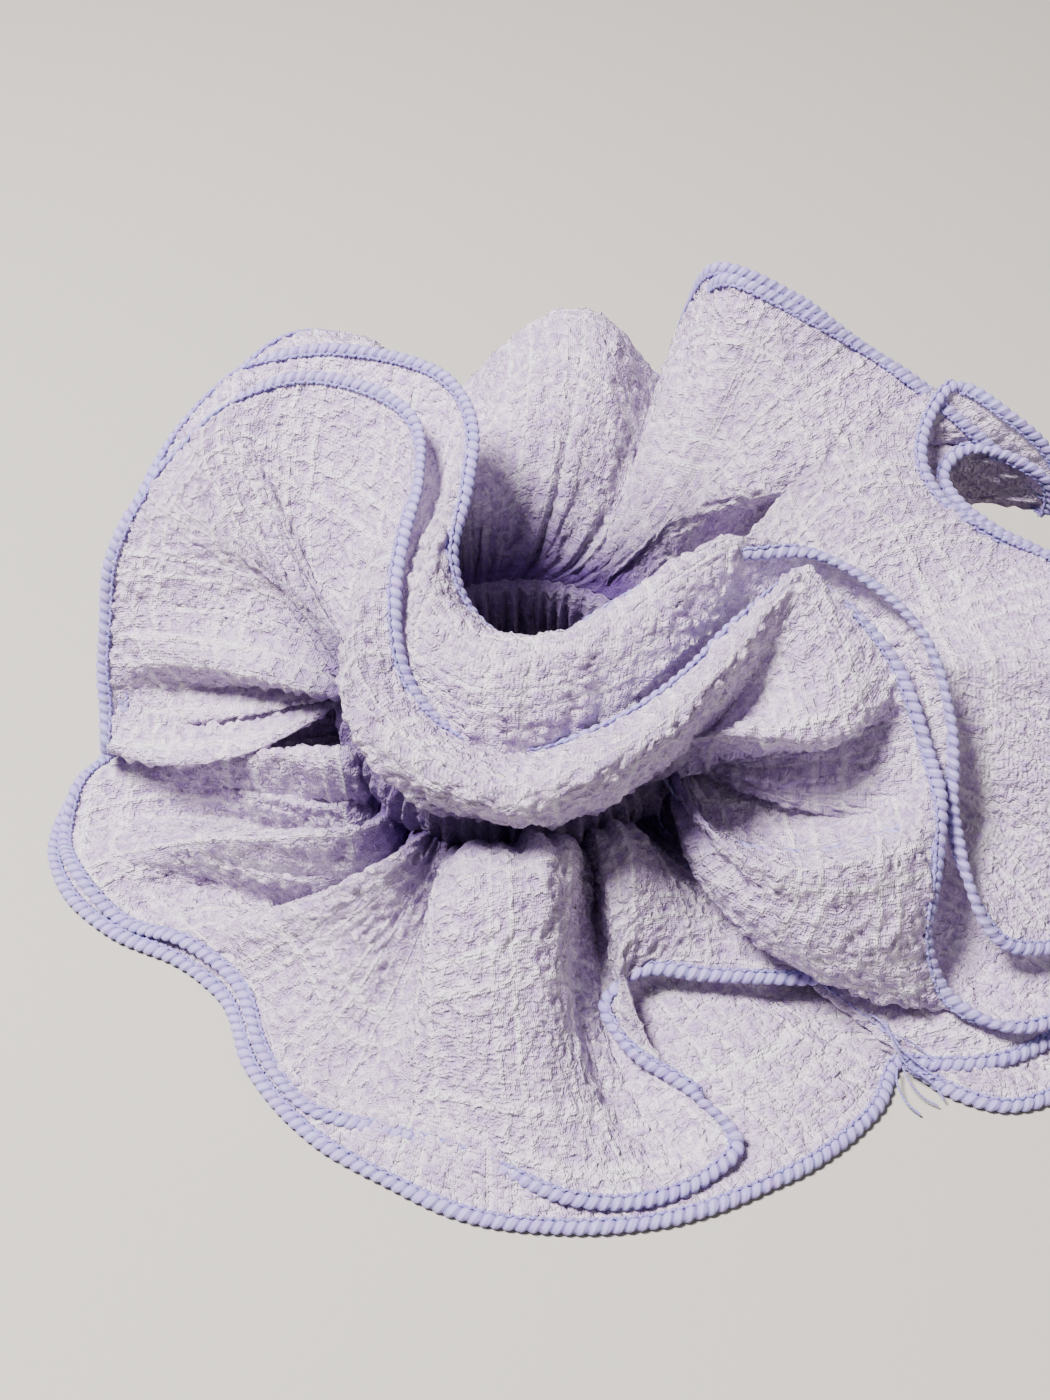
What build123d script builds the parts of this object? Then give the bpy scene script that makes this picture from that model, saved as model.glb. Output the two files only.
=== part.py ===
"""A large double-layer ruffled scrunchie lying on a table, in millimetres.

Two long strips of cloth lie on each other, each closed into a ring. Two rows of stitching hold them together
along their middle and leave a channel between them, and a flat elastic in that channel gathers both strips.
Above the channel both layers flare into the upper frill, and below it into the lower frill, which lies on the
table. Every free edge of the cloth is bound by a rolled overlock hem.

The pull of the elastic is one slide joint: the cloth is cut at the plane x = 0 into a left and a right half,
and the right half slides along +X. The ring's axis is vertical through the origin, and +Z is up.
"""

from build123d import *
import os
from math import cos, degrees, hypot, radians, sin

# ---- the elastic -----------------------------------------------------------------------------------------
elastic_radius = 28.0  # middle of the relaxed band
elastic_width = 8.0
elastic_thickness = 1.0
lap_length = 12.0  # where the two ends of the band overlap
lap_angle = 180.0  # the middle of the lap, round the ring

# ---- the channel in the cloth ----------------------------------------------------------------------------
channel_centre_z = 24.0  # above the table
channel_clearance = 1.0  # between an edge of the elastic and a row of stitching
channel_bulge = 3.0  # how far the gathered cloth puffs out beyond the rows of stitching
bulge_slope_height = 2.0  # over which the cloth swells to that bulge
cloth_wall = 1.0  # gathered cloth at the channel
collar_height = 1.6  # the cloth pressed flat by a row of stitching
layer_gap = 1.0  # between the two layers along a row of stitching
frill_seat = 0.15  # a frill's wall starts this far inside both faces of its collar
layer_lift = 1.2  # how much further from the channel the inner layer starts to flare
half_gap = 0.4  # between the left and the right half of the cloth

# ---- the frills ------------------------------------------------------------------------------------------
# Each lobe of a frill is (angle round the ring in degrees, how far its crest reaches from the ring's axis,
# how much higher its rim is than the frill's own).
upper_lobes = (
    (-36, 88, -16),
    (6, 90, -8),
    (38, 97, 8),
    (68, 95, 14),
    (98, 81, 10),
    (134, 80, 6),
    (172, 81, -14),
    (225, 47, -9),
    (282, 46, -6),
)
lower_lobes = (
    (-36, 100, 0),
    (6, 86, 0),
    (48, 72, 0),
    (90, 64, 0),
    (132, 68, 0),
    (172, 89, 0),
    (202, 87, 0),
    (236, 80, 0),
    (272, 89, 0),
)
upper_valley_share = 0.76  # how far the valley between two crests reaches, as a share of their mean
lower_valley_share = 0.88
upper_rim_z = 54.0
upper_wall = 1.6  # measured radially, so it is thinner square to the cloth
lower_wall = 2.4
upper_rim_gap = 4.0  # between the rims of the two layers, where the inner layer's hem lies
lower_rim_gap = 12.0
upper_rim_lift = 1.2  # how much higher the inner layer's upper rim stands
# The levels of a frill from its collar to its rim: (share of the height, share of the reach).
upper_levels = ((0.0, 0.0), (0.40, 0.30), (1.0, 1.0))
lower_levels = ((0.0, 0.0), (0.30, 0.40), (1.0, 1.0))

# ---- thread ----------------------------------------------------------------------------------------------
hem_width = 2.0
hem_height = 1.6
hem_gap = 0.4  # between a hem and the rim that it binds
thread_size = 0.5
thread_gap = 0.15
seam_angle_outer = -36  # the lobe whose crest carries the overlocked seam that closes the outer strip
seam_angle_inner = 172
seam_width = 2.4
seam_thickness = 0.4
seam_clearance = 0.25
seam_end_gap = 4.0  # the seam stops this far from the rims
zigzag_length = 8.0
zigzag_steps = 6
tail_radius = 0.25
outer_tail_length = 7.0
inner_tail_length = 4.5

# ---- worked out from the values above --------------------------------------------------------------------
row_z = elastic_width / 2 + channel_clearance  # of the stitching, above the middle of the channel
outer_collar = elastic_radius + layer_gap / 2  # inside radius of the outer layer's collar
inner_collar = elastic_radius - layer_gap / 2 - cloth_wall
outer_collar_end = row_z + collar_height
inner_collar_end = outer_collar_end + layer_lift
inner_upper_inset = upper_rim_gap + upper_wall  # how far the inner layer's rim stays inside the outer one's
inner_lower_inset = lower_rim_gap + lower_wall


def wave(lobes, valley_share):
    """The crests of a frill and the valleys between them, in turn, as (angle, reach, rise)."""
    found = []
    for (angle, reach, rise), (next_angle, next_reach, next_rise) in zip(lobes, lobes[1:] + lobes[:1]):
        if next_angle < angle:
            next_angle += 360
        found.append((angle, reach, rise))
        found.append(((angle + next_angle) / 2, valley_share * (reach + next_reach) / 2, (rise + next_rise) / 2))
    return found


def closed_curve(points):
    """A smooth closed curve round the axis through (angle, radius, z), as one edge from point to point."""
    spots = [Vector(r * cos(radians(a)), r * sin(radians(a)), z) for a, r, z in points]
    ways = [Vector(-sin(radians(a)), cos(radians(a)), 0) for a, r, z in points]
    edges = []
    for i in range(len(spots)):
        j = (i + 1) % len(spots)
        edges.append(Edge.make_spline([spots[i], spots[j]], tangents=[ways[i], ways[j]]))
    return edges


def wavy_ring(corners, flat):
    """A solid ring whose section has these corners, each a closed curve. The sides named in flat are planes."""
    curves = [closed_curve(points) for points in corners]
    faces = []
    for i, curve in enumerate(curves):
        following = curves[(i + 1) % len(curves)]
        if i in flat:
            outer, inner = sorted((Wire(curve), Wire(following)), key=lambda wire: -wire.length)
            faces.append(Face(outer, [inner]))
        else:
            faces += [Face.make_surface_from_curves(a, b) for a, b in zip(curve, following)]
    return Solid(Shell(faces))


def frill_curve(crests, start, edge, height, reach, collar_z, rim_z):
    """One corner of a frill's section: at this share of its height and reach, its edge kept inside by edge."""
    return [
        (a, start + (r - edge - start) * reach, collar_z + (rim_z + rise - collar_z) * height)
        for a, r, rise in crests
    ]


def frill(lobes, valley_share, levels, collar_z, rim_z, collar, wall, inset):
    """One layer of a frill as a shell, from the end of its collar to its rim."""
    crests = wave(lobes, valley_share)
    outside, inside = collar + cloth_wall - frill_seat, collar + frill_seat
    corners = [frill_curve(crests, outside, inset, h, r, collar_z, rim_z) for h, r in levels]
    corners += [frill_curve(crests, inside, inset + wall, h, r, collar_z, rim_z) for h, r in reversed(levels)]
    flat = {2 * len(levels) - 1}
    if rim_z == 0:
        flat.add(len(levels) - 1)
    return wavy_ring(corners, flat)


def strip(collar, bulge, collar_end, upper_inset, lower_inset, upper_lift):
    """One whole layer of cloth: its channel wall with the upper and the lower frill."""
    grip = row_z - bulge_slope_height
    face = [(collar, -collar_end), (collar, -row_z), (collar + bulge, -grip)]
    face += [(collar + bulge, grip), (collar, row_z), (collar, collar_end)]
    back = [(r + cloth_wall, z) for r, z in reversed(face)]
    with BuildPart() as layer:
        with BuildSketch(Plane.XZ):
            with BuildLine():
                Polyline(*[(r, channel_centre_z + z) for r, z in face + back], close=True)
            make_face()
        revolve(axis=Axis.Z)
        add(frill(upper_lobes, upper_valley_share, upper_levels, channel_centre_z + collar_end,
                  upper_rim_z + upper_lift, collar, upper_wall, upper_inset))
        add(frill(lower_lobes, lower_valley_share, lower_levels, channel_centre_z - collar_end, 0.0,
                  collar, lower_wall, lower_inset))
    return layer.part


def hem(lobes, valley_share, z, inset):
    """The bound edge of one layer: a band that stands just outside the rim."""
    crests = wave(lobes, valley_share)
    corners = [
        [(a, r - inset + hem_gap + outward, z + rise + upward) for a, r, rise in crests]
        for outward, upward in ((0, 0), (hem_width, 0), (hem_width, hem_height), (0, hem_height))
    ]
    return wavy_ring(corners, {0, 2} if z == 0 else set())


def ring(radius, z, width, height):
    """A plain ring of rectangular section, from its inside radius and the height of its middle."""
    with BuildPart() as hoop:
        with BuildSketch(Plane.XZ):
            with Locations((radius + width / 2, z)):
                Rectangle(width, height)
        revolve(axis=Axis.Z)
    return hoop.part


def lobe_at(lobes, angle):
    """The lobe of a frill whose crest is at this angle."""
    return next(lobe for lobe in lobes if lobe[0] == angle)


def seam_section(angle, bulge, collar_end, start, upper_edge, lower_edge, upper_lift):
    """The face of one layer along a crest, as (radius, height) from the lower rim to the upper rim."""
    lower_reach = lobe_at(lower_lobes, angle)[1] - lower_edge
    upper_reach = lobe_at(upper_lobes, angle)[1] - upper_edge
    rim = upper_rim_z + upper_lift + lobe_at(upper_lobes, angle)[2]
    grip = row_z - bulge_slope_height
    low, high = channel_centre_z - collar_end, channel_centre_z + collar_end
    points = []
    for height, reach in reversed(lower_levels):
        points.append((start + (lower_reach - start) * reach, low - low * height))
    points += [(start, channel_centre_z - row_z), (start + bulge, channel_centre_z - grip)]
    points += [(start + bulge, channel_centre_z + grip), (start, channel_centre_z + row_z)]
    for height, reach in upper_levels:
        points.append((start + (upper_reach - start) * reach, high + (rim - high) * height))
    for end, before in ((0, 1), (-1, -2)):
        (r0, z0), (r1, z1) = points[end], points[before]
        back = seam_end_gap / hypot(r1 - r0, z1 - z0)
        points[end] = (r0 + (r1 - r0) * back, z0 + (z1 - z0) * back)
    return points


def shifted(points, distance):
    """The same path moved sideways by distance, with mitred corners."""
    sides = []
    for (r0, z0), (r1, z1) in zip(points, points[1:]):
        length = hypot(r1 - r0, z1 - z0)
        sides.append(((z0 - z1) / length, (r1 - r0) / length))
    moved = []
    for i, (r, z) in enumerate(points):
        (a, b), (c, d) = sides[max(i - 1, 0)], sides[min(i, len(sides) - 1)]
        scale = distance / (1 + a * c + b * d)
        moved.append((r + (a + c) * scale, z + (b + d) * scale))
    return moved


def join_seam(angle, section, side):
    """The overlocked seam that closes a strip, on the side of the cloth that faces the other layer."""
    near = shifted(section, side * seam_clearance)
    far = shifted(section, side * (seam_clearance + seam_thickness))
    way = (cos(radians(angle)), sin(radians(angle)), 0)
    plane = Plane(origin=(0, 0, 0), x_dir=way, z_dir=(way[1], -way[0], 0))
    with BuildPart() as seam:
        with BuildSketch(plane):
            with BuildLine():
                Polyline(*near, *reversed(far), close=True)
            make_face()
        extrude(amount=seam_width / 2, both=True)
    return seam.part


# ---- cloth: two layers, each in a left and a right half --------------------------------------------------
inner_strip = strip(inner_collar, -channel_bulge, inner_collar_end, inner_upper_inset, inner_lower_inset,
                    upper_rim_lift)
outer_strip = strip(outer_collar, channel_bulge, outer_collar_end, 0.0, 0.0, 0.0)

with BuildPart() as inner_cloth_left:
    add(inner_strip)
    split(bisect_by=Plane.YZ.offset(-half_gap / 2), keep=Keep.BOTTOM)
with BuildPart() as inner_cloth_right:
    add(inner_strip)
    split(bisect_by=Plane.YZ.offset(half_gap / 2), keep=Keep.TOP)
with BuildPart() as outer_cloth_left:
    add(outer_strip)
    split(bisect_by=Plane.YZ.offset(-half_gap / 2), keep=Keep.BOTTOM)
with BuildPart() as outer_cloth_right:
    add(outer_strip)
    split(bisect_by=Plane.YZ.offset(half_gap / 2), keep=Keep.TOP)

# ---- the elastic, with its two ends lapped and sewn ------------------------------------------------------
lap_arc = degrees(lap_length / elastic_radius)
with BuildPart() as elastic_band:
    add(ring(elastic_radius - elastic_thickness / 2, channel_centre_z, elastic_thickness, elastic_width))
    with BuildSketch(Plane.XZ.rotated((0, 0, lap_angle - lap_arc / 2))):
        with Locations((elastic_radius + elastic_thickness, channel_centre_z)):
            Rectangle(elastic_thickness, elastic_width)
    revolve(axis=Axis.Z, revolution_arc=lap_arc)

lap_face = elastic_radius + 1.5 * elastic_thickness + thread_gap
lap_way = (cos(radians(lap_angle)), sin(radians(lap_angle)), 0)
lap_plane = Plane(origin=(lap_way[0] * lap_face, lap_way[1] * lap_face, channel_centre_z), z_dir=lap_way,
                  x_dir=(-lap_way[1], lap_way[0], 0))
zigzag_half = elastic_width / 2 - 3 * thread_size
with BuildPart() as elastic_lap_stitches:
    with BuildSketch(lap_plane):
        with BuildLine():
            Polyline(*[
                (zigzag_length * (i / zigzag_steps - 0.5), zigzag_half * (-1) ** i)
                for i in range(zigzag_steps + 1)
            ])
        trace(line_width=thread_size)
    extrude(amount=thread_size)

# ---- the rows of stitching: a needle thread outside and a bobbin thread on the hole's side --------------
needle_radius = outer_collar + cloth_wall + thread_gap
bobbin_radius = inner_collar - thread_gap - thread_size
stitch_z = row_z + collar_height / 2
with BuildPart() as upper_row_needle_thread:
    add(ring(needle_radius, channel_centre_z + stitch_z, thread_size, thread_size))
with BuildPart() as upper_row_bobbin_thread:
    add(ring(bobbin_radius, channel_centre_z + stitch_z, thread_size, thread_size))
with BuildPart() as lower_row_needle_thread:
    add(ring(needle_radius, channel_centre_z - stitch_z, thread_size, thread_size))
with BuildPart() as lower_row_bobbin_thread:
    add(ring(bobbin_radius, channel_centre_z - stitch_z, thread_size, thread_size))

# ---- the bound edges -------------------------------------------------------------------------------------
with BuildPart() as upper_outer_hem:
    add(hem(upper_lobes, upper_valley_share, upper_rim_z, 0.0))
with BuildPart() as upper_inner_hem:
    add(hem(upper_lobes, upper_valley_share, upper_rim_z + upper_rim_lift, inner_upper_inset))
with BuildPart() as lower_outer_hem:
    add(hem(lower_lobes, lower_valley_share, 0.0, 0.0))
with BuildPart() as lower_inner_hem:
    add(hem(lower_lobes, lower_valley_share, 0.0, inner_lower_inset))

# ---- the seams that close the strips, between the layers -------------------------------------------------
with BuildPart() as outer_join_seam:
    add(join_seam(
        seam_angle_outer,
        seam_section(seam_angle_outer, channel_bulge, outer_collar_end, outer_collar,
                     upper_wall, lower_wall, 0.0),
        1,
    ))
with BuildPart() as inner_join_seam:
    add(join_seam(
        seam_angle_inner,
        seam_section(seam_angle_inner, -channel_bulge, inner_collar_end, inner_collar + cloth_wall,
                     inner_upper_inset, inner_lower_inset, upper_rim_lift),
        -1,
    ))

# ---- loose ends of the hem threads at the outer join -----------------------------------------------------
tail_way = (cos(radians(seam_angle_outer)), sin(radians(seam_angle_outer)), 0)
join_reach = lobe_at(lower_lobes, seam_angle_outer)[1]
with BuildPart() as lower_outer_hem_tail:
    tail_start = join_reach + hem_gap + hem_width + thread_gap
    with BuildSketch(Plane(origin=(tail_way[0] * tail_start, tail_way[1] * tail_start, hem_height / 2),
                           z_dir=tail_way)):
        Circle(tail_radius)
    extrude(amount=outer_tail_length)
with BuildPart() as lower_inner_hem_tail:
    tail_start = join_reach - inner_lower_inset + hem_gap + hem_width + thread_gap
    with BuildSketch(Plane(origin=(tail_way[0] * tail_start, tail_way[1] * tail_start, tail_radius + thread_gap),
                           z_dir=tail_way)):
        Circle(tail_radius)
    extrude(amount=inner_tail_length)

pieces = {
    "inner_cloth_left": inner_cloth_left,
    "inner_cloth_right": inner_cloth_right,
    "outer_cloth_left": outer_cloth_left,
    "outer_cloth_right": outer_cloth_right,
    "elastic_band": elastic_band,
    "elastic_lap_stitches": elastic_lap_stitches,
    "upper_row_needle_thread": upper_row_needle_thread,
    "upper_row_bobbin_thread": upper_row_bobbin_thread,
    "lower_row_needle_thread": lower_row_needle_thread,
    "lower_row_bobbin_thread": lower_row_bobbin_thread,
    "upper_outer_hem": upper_outer_hem,
    "upper_inner_hem": upper_inner_hem,
    "lower_outer_hem": lower_outer_hem,
    "lower_inner_hem": lower_inner_hem,
    "outer_join_seam": outer_join_seam,
    "inner_join_seam": inner_join_seam,
    "lower_outer_hem_tail": lower_outer_hem_tail,
    "lower_inner_hem_tail": lower_inner_hem_tail,
}
os.makedirs("parts", exist_ok=True)
for name, piece in pieces.items():
    piece.part.label = name
    export_step(piece.part, f"parts/{name}.step")
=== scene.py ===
"""A large double-layer ruffled scrunchie lying on a table, in metres.

Two strips of crinkled check voile lie on each other, each closed into a ring. Two rows of stitching hold them
together along their middle, and a flat elastic in the channel between the rows gathers both. Each strip opens
into an upper and a lower frill, and every free edge is bound by a rolled overlock hem.

A frill is laid out by its ribs, the lines that run out from the channel to the hem. Each rib is given by its
angle round the ring where it leaves the channel, and by three points in millimetres: a third of the way out,
two thirds of the way out, and on the hem.
"""

import bpy
import numpy as np
from math import cos, pi, radians, sin
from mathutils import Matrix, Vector


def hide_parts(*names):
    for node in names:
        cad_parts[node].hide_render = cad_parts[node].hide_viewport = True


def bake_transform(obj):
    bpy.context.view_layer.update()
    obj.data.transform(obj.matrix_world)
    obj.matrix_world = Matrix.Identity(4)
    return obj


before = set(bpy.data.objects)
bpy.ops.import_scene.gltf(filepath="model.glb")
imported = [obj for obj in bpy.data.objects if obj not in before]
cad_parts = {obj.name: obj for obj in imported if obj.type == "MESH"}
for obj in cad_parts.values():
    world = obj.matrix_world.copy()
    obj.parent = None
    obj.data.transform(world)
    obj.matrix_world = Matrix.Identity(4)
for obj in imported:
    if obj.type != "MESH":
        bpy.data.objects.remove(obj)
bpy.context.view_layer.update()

MM = 0.001

# the outer strip above the channel: a tall cup at the left, a roll across the front, petals at the right
UPPER_OUTER_RIBS = [
    (180, (-42, -8, 25), (-60, -8, 19), (-77, -1, 15)),
    (184, (-41, 1, 27), (-58, 5, 23), (-77, 4, 21)),
    (188, (-42, -4, 35), (-60, 3, 32), (-77, 8, 27)),
    (193, (-40, 3, 38), (-62, 10, 37), (-76, 12, 34)),
    (198, (-38, 6, 42), (-60, 14, 43), (-75, 17, 42)),
    (203, (-42, 8, 46), (-60, 19, 50), (-69, 27, 51)),
    (208, (-44, 10, 45), (-58, 22, 54), (-61, 35, 57)),
    (216, (-40, 10, 42), (-52, 28, 56), (-51, 42, 62)),
    (224, (-36, 6, 36), (-44, 26, 50), (-42, 44, 65)),
    (231, (-32, 0, 34), (-34, 20, 46), (-30, 41, 66)),
    (238, (-28, -8, 34), (-26, 10, 46), (-19, 31, 66)),
    (244, (-26, -14, 36), (-24, 2, 50), (-17, 16, 64)),
    (250, (-26, -21, 40), (-28, -5, 54), (-19, 3, 61)),
    (256, (-24, -28, 42), (-29, -15, 54), (-20, -8, 57)),
    (262, (-20, -34, 42), (-27, -25, 51), (-18, -18, 49)),
    (269, (-12, -38, 40), (-17, -36, 49), (-9, -25, 42)),
    (277, (0, -40, 38), (-3, -42, 47), (1, -26, 40)),
    (285, (10, -38, 38), (11, -40, 49), (13, -24, 43)),
    (292, (20, -34, 40), (25, -32, 52), (25, -19, 48)),
    (298, (28, -26, 42), (37, -19, 56), (37, -8, 53)),
    (303, (33, -20, 40), (45, -9, 57), (47, -1, 55)),
    (307, (34, -22, 42), (49, -16, 52), (56, -7, 54)),
    (311, (35, -27, 44), (51, -28, 44), (63, -14, 49)),
    (315, (34, -19, 30), (50, -18, 33), (66, -20, 45)),
    (319, (36, -18, 24), (55, -20, 27), (68, -25, 40)),
    (323, (38, -30, 24), (56, -34, 29), (70, -31, 36)),
    (327, (38, -43, 34), (55, -44, 34), (70, -37, 31)),
    (331, (37, -45, 29), (55, -50, 28), (69, -43, 25)),
    (336, (34, -44, 22), (54, -54, 20), (68, -48, 18)),
    (342, (34, -40, 18), (56, -54, 11), (71, -53, 11)),
    (348, (36, -30, 18), (60, -44, 8), (81, -59, 8)),
    (354, (38, -22, 22), (64, -30, 16), (97, -52, 7)),
    (361, (42, -12, 30), (66, -16, 34), (102, -26, 22)),
    (368, (44, -6, 31), (68, -6, 36), (102, -4, 36)),
    (374, (44, 1, 32), (68, 3, 34), (97, 10, 38)),
    (379, (44, 7, 33), (66, 15, 37), (97, 24, 39)),
    (384, (43, 13, 34), (63, 24, 41), (88, 30, 41)),
    (388, (42, 17, 36), (61, 30, 43), (81, 35, 44)),
    (392, (41, 20, 38), (60, 35, 45), (79, 40, 46)),
    (396, (40, 23, 38), (62, 39, 46), (83, 44, 48)),
    (400, (40, 25, 36), (66, 40, 43), (91, 43, 48)),
    (404, (39, 29, 31), (67, 45, 34), (99, 40, 44)),
    (408, (38, 34, 24), (66, 53, 24), (101, 42, 35)),
    (412, (36, 37, 25), (63, 55, 31), (96, 47, 38)),
    (415, (34, 37, 33), (60, 49, 41), (88, 50, 46)),
    (418, (33, 36, 42), (54, 38, 49), (77, 54, 55)),
    (421, (30, 37, 43), (46, 47, 56), (64, 60, 61)),
    (424, (27, 36, 43), (38, 52, 59), (51, 64, 69)),
    (427, (24, 36, 43), (33, 53, 58), (37, 68, 73)),
    (431, (20, 38, 42), (27, 58, 54), (32, 76, 58)),
    (437, (16, 40, 38), (22, 62, 46), (27, 82, 36)),
    (445, (12, 42, 46), (16, 66, 58), (17, 86, 40)),
    (454, (5, 44, 50), (8, 70, 60), (6, 88, 36)),
    (463, (-4, 42, 46), (-4, 66, 54), (-7, 84, 32)),
    (472, (-11, 40, 40), (-15, 60, 44), (-19, 78, 32)),
    (481, (-17, 38, 44), (-26, 58, 56), (-32, 76, 50)),
    (490, (-23, 34, 44), (-38, 54, 56), (-46, 70, 56)),
    (499, (-29, 30, 42), (-46, 48, 50), (-56, 62, 52)),
    (508, (-35, 24, 36), (-52, 40, 40), (-64, 52, 44)),
    (517, (-39, 16, 32), (-56, 30, 30), (-72, 38, 26)),
    (526, (-43, 8, 28), (-60, 18, 22), (-78, 24, 10)),
    (534, (-43, -3, 23), (-59, -2, 16), (-79, 7, 8)),
]
# the inner strip above the channel, on the hole's side
UPPER_INNER_RIBS = [
    (180, (-41, -3, 28), (-58, -1, 22), (-74, 4, 18)),
    (184, (-40, 6, 30), (-56, 10, 27), (-75, 9, 24)),
    (188, (-41, 3, 37), (-59, 9, 35), (-76, 13, 30)),
    (194, (-42, 9, 41), (-62, 15, 41), (-75, 18, 39)),
    (201, (-44, 12, 46), (-60, 23, 50), (-69, 31, 50)),
    (208, (-44, 14, 46), (-56, 30, 56), (-62, 43, 56)),
    (216, (-38, 14, 42), (-50, 34, 58), (-52, 50, 62)),
    (224, (-34, 10, 38), (-42, 32, 52), (-41, 51, 66)),
    (231, (-29, 6, 36), (-31, 26, 48), (-27, 49, 67)),
    (238, (-25, -2, 36), (-22, 18, 48), (-14, 42, 67)),
    (244, (-22, -8, 38), (-18, 10, 52), (-8, 28, 66)),
    (250, (-21, -15, 40), (-19, 2, 55), (-9, 14, 61)),
    (256, (-18, -20, 42), (-18, -6, 56), (-11, 3, 56)),
    (262, (-14, -24, 42), (-14, -13, 55), (-8, -3, 50)),
    (269, (-6, -27, 42), (-6, -19, 54), (-2, -6, 46)),
    (277, (3, -27, 42), (5, -19, 54), (6, -6, 46)),
    (285, (12, -24, 42), (15, -15, 55), (14, -3, 50)),
    (292, (20, -20, 42), (25, -9, 58), (22, -1, 54)),
    (298, (27, -14, 42), (34, -3, 60), (30, 1, 58)),
    (304, (32, -10, 42), (40, 0, 58), (40, 0, 60)),
    (311, (36, -10, 38), (48, 0, 52), (50, 0, 60)),
    (318, (38, -14, 36), (56, -4, 48), (60, -5, 57)),
    (325, (39, -18, 34), (60, -12, 44), (67, -11, 53)),
    (332, (40, -22, 32), (62, -22, 38), (72, -22, 43)),
    (340, (40, -24, 28), (62, -30, 30), (73, -34, 30)),
    (348, (42, -22, 26), (66, -30, 24), (81, -48, 16)),
    (355, (42, -16, 28), (68, -22, 26), (96, -44, 13)),
    (362, (44, -6, 34), (68, -8, 38), (102, -20, 28)),
    (369, (44, -6, 34), (68, -6, 40), (102, -5, 40)),
    (375, (44, 1, 35), (68, 2, 38), (98, 8, 41)),
    (380, (44, 7, 36), (66, 13, 40), (98, 21, 41)),
    (384, (43, 12, 37), (63, 21, 45), (88, 25, 43)),
    (388, (42, 16, 38), (58, 27, 48), (78, 30, 47)),
    (392, (41, 19, 40), (55, 32, 50), (74, 37, 51)),
    (396, (40, 22, 42), (54, 36, 52), (76, 45, 55)),
    (399, (40, 24, 42), (58, 41, 52), (81, 51, 58)),
    (402, (40, 27, 36), (64, 42, 42), (91, 46, 55)),
    (405, (39, 30, 30), (66, 46, 32), (101, 42, 46)),
    (408, (37, 33, 27), (64, 50, 28), (103, 40, 38)),
    (411, (36, 34, 28), (62, 50, 33), (98, 43, 41)),
    (414, (34, 34, 35), (58, 44, 43), (88, 45, 49)),
    (417, (33, 32, 43), (52, 34, 49), (76, 50, 57)),
    (420, (30, 33, 44), (45, 42, 56), (64, 56, 63)),
    (423, (27, 32, 42), (40, 46, 58), (53, 58, 69)),
    (427, (25, 33, 42), (35, 48, 58), (38, 64, 73)),
    (431, (22, 36, 42), (28, 54, 54), (34, 72, 62)),
    (437, (18, 38, 38), (24, 58, 46), (28, 78, 40)),
    (445, (13, 40, 44), (17, 62, 58), (18, 82, 44)),
    (454, (6, 42, 48), (8, 66, 60), (6, 86, 42)),
    (463, (-3, 40, 44), (-3, 62, 54), (-6, 82, 38)),
    (472, (-10, 38, 38), (-14, 56, 42), (-18, 74, 34)),
    (481, (-16, 36, 42), (-24, 54, 54), (-30, 72, 50)),
    (490, (-22, 32, 42), (-36, 50, 54), (-44, 66, 56)),
    (499, (-28, 28, 40), (-44, 44, 48), (-54, 58, 54)),
    (508, (-34, 22, 34), (-50, 36, 38), (-62, 48, 46)),
    (517, (-38, 14, 30), (-54, 26, 28), (-70, 34, 30)),
    (526, (-42, 6, 26), (-58, 14, 20), (-76, 20, 14)),
    (534, (-42, -1, 26), (-57, 2, 20), (-76, 8, 13)),
]
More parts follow.
